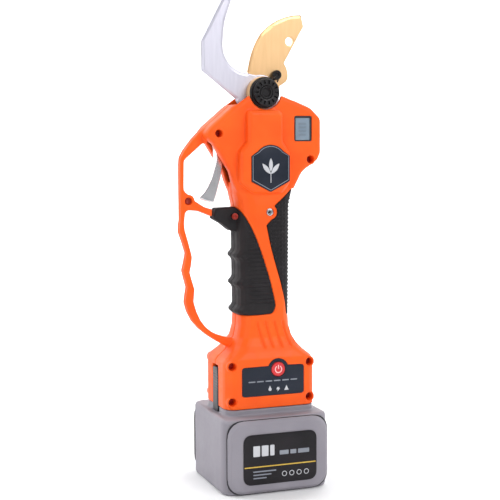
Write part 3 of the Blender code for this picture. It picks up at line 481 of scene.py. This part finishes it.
def cross_recess(size):
    """The relief of a cross-head recess, deepest in the middle."""

    def relief(x, z, y):
        arms = np.minimum(np.abs(x), np.abs(z))
        reach = np.maximum(np.abs(x), np.abs(z))
        cut = (1 - step(arms, 0.28 * size, 0.46 * size)) * (1 - step(reach, 0.85 * size, 1.05 * size))
        return cut * (1.1 - 0.35 * reach / size) * (y < y.min() + 0.5)

    return relief


def screw_profile(top, radius):
    """A domed head and a short shank, as radius, y from the middle of the head to the shank's end."""
    shank = 1.3
    profile = spread((0, top), (radius * 0.72, top + 0.02), gap=0.07)
    profile += [(radius * 0.9, top + 0.16), (radius, top + 0.5), (radius, top + 1.5)]
    profile += [(shank, top + 1.55), (shank, top + 5), (0, top + 5)]
    return profile


def build_housing_screws():
    for number, (x, z, depth, sink, radius) in enumerate(SCREWS, 1):
        profile = screw_profile(sink - depth, radius)
        mesh = disc(profile, (x, z), relief=cross_recess(radius * 0.62))
        slot = "bright_steel" if number == BRIGHT_SCREW else "black_steel"
        # The sunk screws get dark red painted shade in place of their black steel.
        material = None if number == BRIGHT_SCREW else SCREW_PAINTED_SHADE
        add(mesh, f"housing_screw_{number}_head", "housing", slot, f"housing_screw_{number}", material)


def cross_outline(centre, arm, half):
    """A cross whose arms reach arm from its middle and are 2 * half wide."""
    result = []
    for turn in (0, pi / 2, pi, 3 * pi / 2):
        for a, b in ((half, half), (half, arm), (-half, arm)):
            x = centre[0] + cos(turn) * a - sin(turn) * b
            z = centre[1] + sin(turn) * a + cos(turn) * b
            result.append((x, z))
    return result


def build_screw_shadow():
    """Painted shade: a dark cross sheet on the floor of the bright screw's recess."""
    x, z, depth, sink, _ = SCREWS[BRIGHT_SCREW - 1]
    top = sink - depth
    cross = slab([cross_outline((x, z), 1.25, 0.3)], top + 0.3, top + 0.5, 0.03)
    add(cross, "screw_recess_shadow", "housing", "black_steel")


# ---------------------------------------------------------------- badge, display and panel


def badge_outline(extra=0.0):
    """The shield, let out all round by extra."""
    middle = BADGE[0]
    left = middle - 16.0 - extra
    right = middle + 16.0 + extra
    shoulder = 263.5
    hip = 243.8 - extra
    foot = 235.4 - 1.3 * extra
    dome = arc(BADGE, 13.6 + extra, 40, 140, 30)
    return [(left, shoulder), (left, hip), (middle, foot), (right, hip), (right, shoulder), *dome]


def leaf(centre, length, width, lean):
    """A pointed leaf, as the plain mark on the badge."""
    side = [(length * (t - 0.5), width * sin(pi * t) ** 0.8) for t in np.linspace(0, 1, 20)]
    loop = side + [(a, -b) for a, b in side[-2:0:-1]]
    turn = radians(lean)
    result = []
    for a, b in loop:
        x = centre[0] + a * cos(turn) - b * sin(turn)
        z = centre[1] + a * sin(turn) + b * cos(turn)
        result.append((x, z))
    return result


def build_badge():
    add(slab([badge_outline()], -22.05, -21.3, 0.18), "badge_face", "housing", "panel_film", "badge_plate")
    rim = slab([badge_outline(-0.9), badge_outline(-1.35)], -22.1, -21.9, 0.04)
    add(rim, "badge_rim", "housing", "panel_film", material=DIM_PRINT)
    length = 10.5
    marks = [
        leaf((-2.2, 253.6), length, 1.7, 130),
        leaf((5.2, 253.6), length, 1.7, 50),
        leaf((1.5, 256.6), length, 1.6, 90),
        rectangle(1.2, 242.6, 1.8, 251.0, 0.25),
    ]
    for number, outline in enumerate(marks):
        mesh = slab([outline], *BADGE_MARK)
        add(mesh, f"badge_mark_{number}", "housing", "panel_film", material=PALE_PRINT)


def build_display():
    glass = slab([rectangle(24.9, 275.2, 38.8, 294.4, 0.7)], -14.2, -13.1, 0.15)
    add(glass, "display_glass", "housing", "display_lens", "display_window")
    # A black frame round the lens, widened at the right and top by painted shade from the opening's inner
    # wall.
    ring = [rectangle(24.7, 275.0, 39.0, 294.6, 0.7), rectangle(25.4, 275.8, 37.5, 293.2, 0.5)]
    edge = slab(ring, -14.5, -14.25, 0.1)
    add(edge, "display_frame_and_painted_shade", "housing", "black_plastic")
    ink = surface("display_ink", [(0.15, 0.2, 0.25), (0.18, 0.235, 0.285)], (0.3, 0.4), bump=0.02)
    for number in range(4):
        bottom = 279.2 + 2.9 * number
        bar = slab([rectangle(28.0, bottom, 34.6, bottom + 1.6, 0.3)], *DISPLAY_MARK)
        add(bar, f"display_bar_{number}", "housing", "display_lens", material=ink)


def panel_outline():
    """A rectangle with an arch over the power button in its upper edge."""
    arch = arc(BUTTON, 8.6, 20, 160, 30)
    lower = rectangle(-24.9, 74.8, 27.4, 98.0, 2.5)
    quarter = len(lower) // 4
    return lower[: 3 * quarter] + arch + lower[3 * quarter :]


def build_panel():
    hole = arc(BUTTON, 6.1, 0, 354, 59)
    face = slab([panel_outline(), hole[::-1]], -26.85, -26.2, 0.15)
    add(face, "panel_face", "housing", "panel_film", "control_panel")
    for number in range(6):
        left = -19.5 + 7.1 * number
        mesh = slab([rectangle(left, 85.9, left + 5.6, 86.9, 0.3)], *PANEL_MARK)
        add(mesh, f"panel_bar_{number}", "housing", "panel_film", material=DIM_PRINT)
    drop = arc((-1.5, 79.6), 1.3, -210, 30, 20) + [(-1.5, 82.6)]
    bolt = [(4.6, 81.0), (6.6, 81.0), (5.9, 79.9), (7.2, 79.9), (4.6, 77.4), (5.2, 79.1), (3.9, 79.1)]
    peak = [(10.6, 78.2), (14.4, 78.2), (12.5, 82.2)]
    for name, outline in (("drop", drop), ("bolt", bolt), ("peak", peak)):
        mesh = slab([outline], *PANEL_MARK)
        add(mesh, f"panel_{name}", "housing", "panel_film", material=PALE_PRINT)


def build_button():
    profile = spread((0, -27.35), (4.3, -27.4), (5.2, -27.3), gap=0.4)
    profile += [(5.5, -27.05), (5.6, -26.6), (5.7, -24.0), (6.9, -23.9), (6.9, -23.0), (0, -23.0)]
    add(disc(profile, BUTTON), "power_button_cap", "power_button", "red_plastic", "power_button")
    ring = arc(BUTTON, 3.1, 120, 420, 40) + arc(BUTTON, 2.3, 420, 120, 40)
    x, z = BUTTON
    bar = rectangle(x - 0.4, z + 0.2, x + 0.4, z + 3.5, 0.3)
    for name, outline in (("ring", ring), ("bar", bar)):
        mesh = slab([outline], *BUTTON_MARK)
        add(mesh, f"power_button_{name}", "power_button", "red_plastic", material=ROSE_PRINT)


# ---------------------------------------------------------------- blades

PIVOT_BORE = 5.35
NUT_NOTCHES = 14


def ground(mesh, line, width, depth, toward):
    """Grinds a slope along a line of x, z corners, on the face toward -1 (front) or 1 (rear)."""
    points, _ = arrays(mesh)
    middle = (points[:, 1].min() + points[:, 1].max()) / 2
    away = distance_to(points[:, [0, 2]], line)
    share = np.clip(1 - away / width, 0, 1)
    face = (points[:, 1] - middle) * toward > 0
    points[:, 1] -= np.where(face, toward * depth * share, 0)
    put_points(mesh, points)


def build_blades():
    hook = refined("fixed_blade", 0.36, 4)
    back = [(-26.2, 395.2), (-31.6, 385.0), (-48.6, 352.9), (-48.6, 330.0), (-20.8, 308.3)]
    throat = [(-12.0, 328.4), (-17.1, 329.6), (-23.1, 333.0), (-27.4, 337.7), (-30.4, 344.0)]
    throat += [(-31.1, 351.1), (-29.6, 367.0), (-24.1, 384.2), (-21.6, 395.8)]
    ground(hook, back, 1.9, 1.1, -1)
    ground(hook, back, 1.9, 1.1, 1)
    ground(hook, throat, 2.4, 0.9, -1)
    add(hook, "hook_blade", "housing", "blade_steel", "fixed_blade", crease=None)
    cutter = refined("moving_blade", 0.36, 4)
    edge = [(-9.5, 329.8), (-5.7, 345.0), (1.5, 359.1), (12.7, 368.6), (25.7, 373.9), (35.8, 375.1)]
    ground(cutter, edge, 6.0, 2.6, 1)
    ground(cutter, edge, 2.2, 0.5, -1)
    add(cutter, "cutting_blade", "blade", "gold_steel", "moving_blade", crease=None)


def build_bush():
    start = (PIVOT_BORE, -0.2)
    barrel = [start, (6.5, -0.25), (6.5, -4.4)]
    flange = [(12.3, -4.6), (12.6, -4.9), (12.6, -10.9), (12.3, -11.2)]
    profile = [*spread(*barrel, *flange), (PIVOT_BORE, -11.3), start]
    add(disc(profile, PIVOT), "bush_flange", "housing", "gold_steel", "pivot_bush")


def nut_relief(x, z, y):
    """Square notches round the nut's face."""
    radius = np.hypot(x, z)
    angle = np.arctan2(z, x)
    pitch = tau / NUT_NOTCHES
    off = np.abs((angle + pitch / 2) % pitch - pitch / 2) * radius
    notch = (1 - step(off, 0.55, 0.8)) * step(radius, 6.7, 7.0) * (1 - step(radius, 9.3, 9.6))
    return 1.5 * notch * (y < -16.9)


def build_nut():
    face = [(PIVOT_BORE, -17.0), (5.7, -17.3), (6.2, -17.4), (10.0, -17.4), (10.5, -17.2)]
    profile = [(PIVOT_BORE, -12.0), *spread(*face, gap=0.12)]
    profile += [(10.6, -16.8), (10.6, -13.9), (11.8, -13.8), (12.15, -13.5)]
    profile += [(12.2, -11.9), (11.9, -11.65), (PIVOT_BORE, -11.65)]
    add(disc(profile, PIVOT, 336, nut_relief), "nut_body", "blade", "black_steel", "lock_nut")


def build_bolt():
    front = [(0, -14.7), (3.3, -14.7), (3.6, -14.9), (3.6, -16.6), (3.9, -17.0), (4.7, -17.0), (5.0, -16.7)]
    head = [(5.0, 11.6), (8.1, 11.6), (8.4, 11.9), (8.4, 14.3), (8.0, 14.7)]
    socket = [(3.4, 14.7), (3.2, 14.5), (3.2, 12.9), (0, 12.8)]
    add(disc([*front, *head, *socket], PIVOT), "bolt_body", "blade", "black_steel", "pivot_bolt")


def build_lock():
    """The forked tab that keeps the nut from turning, and its screw."""
    add(refined("lock_tab", 0.16, 3), "lock_fork", "blade", "black_steel", "lock_tab", crease=None)
    socket = [(0, -3.9), (1.5, -3.9), (1.75, -4.1), (1.8, -4.9)]
    head = [(2.0, -5.1), (3.3, -5.1), (3.7, -4.8), (3.8, -4.3), (3.8, -1.9), (3.6, -1.8)]
    shank = [(1.5, -1.8), (1.5, 3.3), (0, 3.4)]
    screw = disc([*socket, *head, *shank], LOCK_SCREW, 64)
    add(screw, "lock_screw_head", "blade", "black_steel", "lock_screw")


# ---------------------------------------------------------------- trigger, latches and battery

LATCH_RIB_PITCH = 2.2
PAINTED_SHADE_RINGS = {"front": (-39.27, -39.03), "rear": (43.03, 43.27)}  # dark rings of painted shade in the groove round each battery cover: y of each ring's two faces


def build_trigger():
    add(refined("trigger", 0.3, 4), "trigger_lever", "trigger", "bright_steel", "trigger", POLISHED, None)


def latch_relief(points, normals):
    """Level ribs on the outer face of a latch."""
    outward = step(np.abs(normals[:, 0]), 0.7, 0.9) * (np.abs(points[:, 0]) > 37.2)
    rib = 0.5 + 0.5 * np.cos(tau * points[:, 2] / LATCH_RIB_PITCH)
    return -0.35 * rib * outward * step(points[:, 2], 76, 78) * (1 - step(points[:, 2], 91, 93))


def build_latches():
    for side in ("left", "right"):
        mesh = refined(f"latch_{side}", 0.3, 3, latch_relief)
        add(mesh, f"latch_{side}_pad", f"latch_{side}", "black_plastic", f"latch_{side}", crease=None)


def build_battery():
    case = refined("battery_case", 0.6, 4)
    add(case, "battery_body", "battery", "grey_plastic", "battery_case", crease=None)
    for side in SIDES:
        mesh = refined(f"battery_{side}_cover", 0.5, 6)
        add(mesh, f"battery_{side}_face", "battery", "grey_plastic", f"battery_{side}_cover", crease=None)
    # Thin dark rings that paint the shade of the groove between the battery case and each cover.
    for side, (low, high) in PAINTED_SHADE_RINGS.items():
        ring = [rectangle(-42.5, 0.6, 42.5, 59.4, 13.4), rectangle(-39.0, 4.0, 39.0, 56.0, 10.0)]
        add(slab(ring, low, high, 0.05), f"battery_{side}_painted_shade_ring", "battery", "black_plastic")


def add_label_mark(name, outlines, material):
    mesh = slab(outlines, *LABEL_MARK)
    add(mesh, f"label_{name}", "battery", "black_plastic", material=material)


def build_label():
    """The battery's dark label, with plain bars and rings for its print."""
    face = slab([rectangle(-30.0, 8.6, 31.4, 48.4, 7.0)], -43.6, -43.2, 0.12)
    add(face, "battery_label_face", "battery", "black_plastic", "battery_label", material=LABEL)
    add_label_mark("line", [rectangle(-29.2, 22.4, 30.6, 23.3, 0.3)], YELLOW_PRINT)
    for number, (left, wide) in enumerate(((-22.0, 5.6), (-15.0, 5.6), (-8.0, 3.6))):
        block = rectangle(left, 31.0, left + wide, 39.5, 0.8)
        add_label_mark(f"block_{number}", [block], PALE_PRINT)
    for number, (left, wide) in enumerate(((0.0, 7.5), (9.0, 5.0), (15.5, 9.5))):
        strip = rectangle(left, 31.0, left + wide, 34.4, 0.6)
        add_label_mark(f"strip_{number}", [strip], DIM_PRINT)
    for number in range(3):
        drop = 2.6 * number
        row = rectangle(-22.0, 18.6 - drop, -3.0 - 4 * number, 19.6 - drop, 0.3)
        add_label_mark(f"row_{number}", [row], DIM_PRINT)
    for number in range(4):
        centre = (4.0 + 6.2 * number, 15.6)
        ring = [arc(centre, 2.1, 0, 350, 35), arc(centre, 1.6, 350, 0, 35)]
        add_label_mark(f"ring_{number}", ring, PALE_PRINT)


# ---------------------------------------------------------------- finish, floor, light and camera

SLOT_OF_NODE = {part["node"]: part["material_slot"] for part in frame["record"]["subparts"]}


def finish_inner_nodes():
    """Gives every CAD node its slot's material."""
    for node, obj in frame["nodes"].items():
        obj.data.materials.clear()
        obj.data.materials.append(MATERIALS[SLOT_OF_NODE[node]])


def build_stage():
    """A pale floor that curves up into a backdrop."""
    flat_end = 1.6
    bend = 0.8
    half_width = 4.0
    profile = [(-2.5, 0.0), (flat_end, 0.0)]
    for angle in np.linspace(0.1, pi / 2, 16):
        profile.append((flat_end + bend * sin(angle), bend - bend * cos(angle)))
    profile.append((2.4, 3.0))
    points = [(side * half_width, y, z) for y, z in profile for side in (-1, 1)]
    faces = [(2 * k, 2 * k + 1, 2 * k + 3, 2 * k + 2) for k in range(len(profile) - 1)]
    mesh = bpy.data.meshes.new("floor")
    mesh.from_pydata(points, [], faces)
    mesh.shade_smooth()
    paper = surface("floor_paper", [(0.88, 0.88, 0.885), (0.9, 0.9, 0.905)], (0.6, 0.75), bump=0.02)
    mesh.materials.append(paper)
    floor = bpy.data.objects.new("floor", mesh)
    bpy.context.scene.collection.objects.link(floor)


def light(name, place, size, power, target=(0, 0, 0.2)):
    """A rectangular light of so many watts. Its place, size and target are in metres."""
    lamp = bpy.data.lights.new(name, "AREA")
    lamp.shape = "RECTANGLE"
    lamp.size, lamp.size_y = size
    lamp.energy = power
    obj = bpy.data.objects.new(name, lamp)
    obj.location = place
    aim = Vector(target) - obj.location
    obj.rotation_euler = aim.to_track_quat("-Z", "Y").to_euler()
    bpy.context.scene.collection.objects.link(obj)


def build_lights():
    """Soft light on the tool, stronger light on the backdrop, and a pale world."""
    light("key", (0.5, -1.3, 1.1), (0.8, 0.8), 14)
    light("fill", (-1.4, -0.9, 0.6), (1.2, 1.2), 7)
    light("top", (0.0, 0.2, 1.6), (1.4, 1.0), 6)
    light("right", (1.3, -0.1, 0.5), (0.5, 1.2), 4)
    light("backdrop_left", (-1.6, 1.0, 1.9), (1.6, 1.6), 60, (-0.8, 2.4, 0.7))
    light("backdrop_right", (1.6, 1.0, 1.9), (1.6, 1.6), 60, (1.4, 2.4, 0.7))
    world = bpy.data.worlds.new("studio")
    world.use_nodes = True
    background = world.node_tree.nodes["Background"]
    background.inputs["Color"].default_value = (0.95, 0.96, 1.0, 1)
    background.inputs["Strength"].default_value = 0.29
    bpy.context.scene.world = world
    bpy.context.scene.view_settings.view_transform = "Standard"


def build_camera():
    """A long lens to the left of the tool's front, looking slightly down."""
    tilt = radians(90 - 5.44)
    roll = radians(0.2)
    aside = radians(20.3)
    lens = bpy.data.cameras.new("camera")
    lens.lens = 85.97
    lens.sensor_width = 36.0
    camera = bpy.data.objects.new("camera", lens)
    camera.location = (-0.3382, -0.8934, 0.2789)
    camera.rotation_euler = Euler((tilt, roll, -aside))
    bpy.context.scene.collection.objects.link(camera)
    bpy.context.scene.camera = camera


finish_inner_nodes()
build_shells()
build_grips()
build_seam_lip("front_shell", "orange_plastic")
build_housing_screws()
build_screw_shadow()
build_badge()
build_display()
build_panel()
build_button()
build_blades()
build_bush()
build_nut()
build_bolt()
build_lock()
build_trigger()
build_latches()
build_battery()
build_label()
build_stage()
build_lights()
build_camera()
